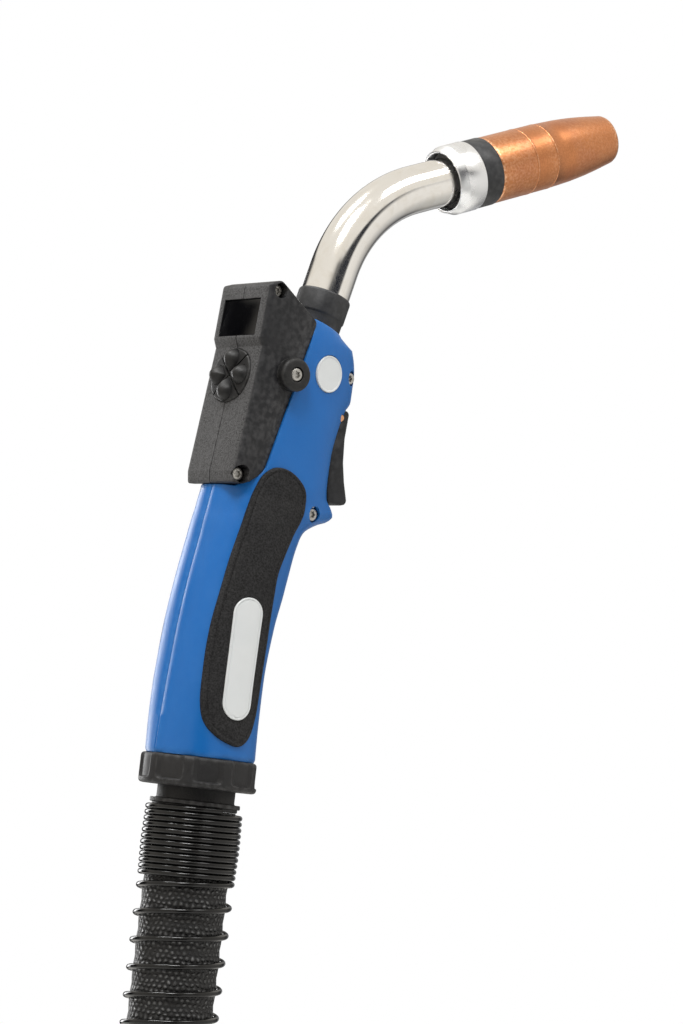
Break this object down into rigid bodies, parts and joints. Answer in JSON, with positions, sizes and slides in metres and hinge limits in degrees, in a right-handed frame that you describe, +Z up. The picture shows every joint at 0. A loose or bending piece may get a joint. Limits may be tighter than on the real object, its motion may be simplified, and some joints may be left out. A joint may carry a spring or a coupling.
{
  "type": "mig welding torch",
  "caption": "Hand-held MIG welding torch with swan neck, gas nozzle, trigger, control pod, spring-relieved hose and rear connector.",
  "frame": {"origin": "on the hose axis at the middle of the hand grip", "axes": "+Z up along the handle's foot and hose axis towards the nozzle end, +X to the trigger and nozzle side, +Y across the handle"},
  "size_m": [0.4559, 0.6508, 0.7787],
  "materials": {
    "copper": "brushed, mottled copper",
    "plated_ring": "turned and plated",
    "bright_nickel": "polished nickel plate",
    "brass": "turned brass",
    "insulator_black": "moulded, dark",
    "handle_blue": "moulded, satin blue",
    "grip_rubber": "fine grained rubber",
    "pale_plate": "satin, bare",
    "trigger_grey": "moulded, dark grey",
    "black_plastic": "grained black plastic",
    "keypad_black": "matt",
    "plunger_red": "moulded",
    "window_black": "gloss",
    "board_green": "lacquered",
    "screw_steel": "zinc plated",
    "pin_copper": "drawn copper alloy",
    "spring_black": "gloss black coated wire",
    "hose_jacket": "black woven-textile jacket over rubber",
    "strap_black": "woven strap",
    "lead_black": "insulated"
  },
  "bodies": {
    "torch": {"contact_tip": "copper", "gas_diffuser": "brass", "neck_head": "brass", "neck_tube": "bright_nickel", "neck_sleeve": "insulator_black", "neck_block": "brass", "handle_shell_left": "handle_blue", "handle_shell_right": "handle_blue", "grip_pad_left": "grip_rubber", "grip_pad_right": "grip_rubber", "grip_plate_left": "pale_plate", "grip_plate_right": "pale_plate", "badge_disc": "pale_plate", "trigger_pin": "pin_copper", "switch_body": "black_plastic", "switch_bracket": "black_plastic", "handle_screws": "screw_steel", "rear_collar": "black_plastic", "cable_socket": "black_plastic", "bend_spring": "spring_black", "power_lead": "lead_black", "pod_shell_left": "black_plastic", "pod_shell_right": "black_plastic", "pod_base": "black_plastic", "display_window": "window_black", "display_board": "board_green", "keypad_mat": "keypad_black", "pod_screws": "screw_steel", "bumper_left": "grip_rubber", "bumper_right": "grip_rubber", "bumper_screws": "screw_steel", "cable_run": "hose_jacket", "cable_coil": "hose_jacket", "cable_tail": "hose_jacket", "coil_tie": "strap_black", "connector_relief": "grip_rubber", "connector_body": "black_plastic", "power_pin": "brass", "gas_nipple": "brass"},
    "nozzle": {"gas_nozzle": "copper", "nozzle_insulator": "insulator_black", "nozzle_ring": "plated_ring"},
    "trigger": {"trigger": "trigger_grey"},
    "switch_plunger": {"switch_plunger": "plunger_red"},
    "key_up": {"key_up": "trigger_grey"},
    "key_down": {"key_down": "trigger_grey"},
    "key_left": {"key_left": "trigger_grey"},
    "key_right": {"key_right": "trigger_grey"},
    "coupling_nut": {"connector_nut": "black_plastic"},
    "signal_pin_left": {"signal_pin_left": "brass"},
    "signal_pin_right": {"signal_pin_right": "brass"}
  },
  "joints": [
    {"name": "nozzle_pull", "type": "slide", "parent": "torch", "child": "nozzle", "axis": [0.9239, 0, 0.3827], "range_m": [0, 0.1]},
    {"name": "trigger_squeeze", "type": "hinge", "parent": "torch", "child": "trigger", "pos_m": [0.044, 0, 0.089], "axis": [0, 1, 0], "range_deg": [0, 6], "stiffness_Nm_per_rad": 0.8, "springref_deg": -5.73},
    {"name": "plunger_press", "type": "slide", "parent": "torch", "child": "switch_plunger", "axis": [-1, 0, 0], "range_m": [0, 0.0018]},
    {"name": "key_up_press", "type": "slide", "parent": "torch", "child": "key_up", "axis": [0.9921, 0, -0.1253], "range_m": [0, 0.0008], "stiffness_N_per_m": 600, "springref_m": -0.001},
    {"name": "key_down_press", "type": "slide", "parent": "torch", "child": "key_down", "axis": [0.9921, 0, -0.1253], "range_m": [0, 0.0008], "stiffness_N_per_m": 600, "springref_m": -0.001},
    {"name": "key_left_press", "type": "slide", "parent": "torch", "child": "key_left", "axis": [0.9921, 0, -0.1253], "range_m": [0, 0.0008], "stiffness_N_per_m": 600, "springref_m": -0.001},
    {"name": "key_right_press", "type": "slide", "parent": "torch", "child": "key_right", "axis": [0.9921, 0, -0.1253], "range_m": [0, 0.0008], "stiffness_N_per_m": 600, "springref_m": -0.001},
    {"name": "coupling_nut_turn", "type": "hinge", "parent": "torch", "child": "coupling_nut", "pos_m": [0.00038, -0.1405, -0.51025], "axis": [0, -1, 0], "continuous": true},
    {"name": "signal_pin_left_spring", "type": "slide", "parent": "torch", "child": "signal_pin_left", "axis": [0, 1, 0], "range_m": [0, 0.0025], "stiffness_N_per_m": 400, "springref_m": -0.0015},
    {"name": "signal_pin_right_spring", "type": "slide", "parent": "torch", "child": "signal_pin_right", "axis": [0, 1, 0], "range_m": [0, 0.0025], "stiffness_N_per_m": 400, "springref_m": -0.0015}
  ],
  "couplings": [
    {"joint": "plunger_press", "follows": "trigger_squeeze", "m_per_rad": 0.0165}
  ]
}
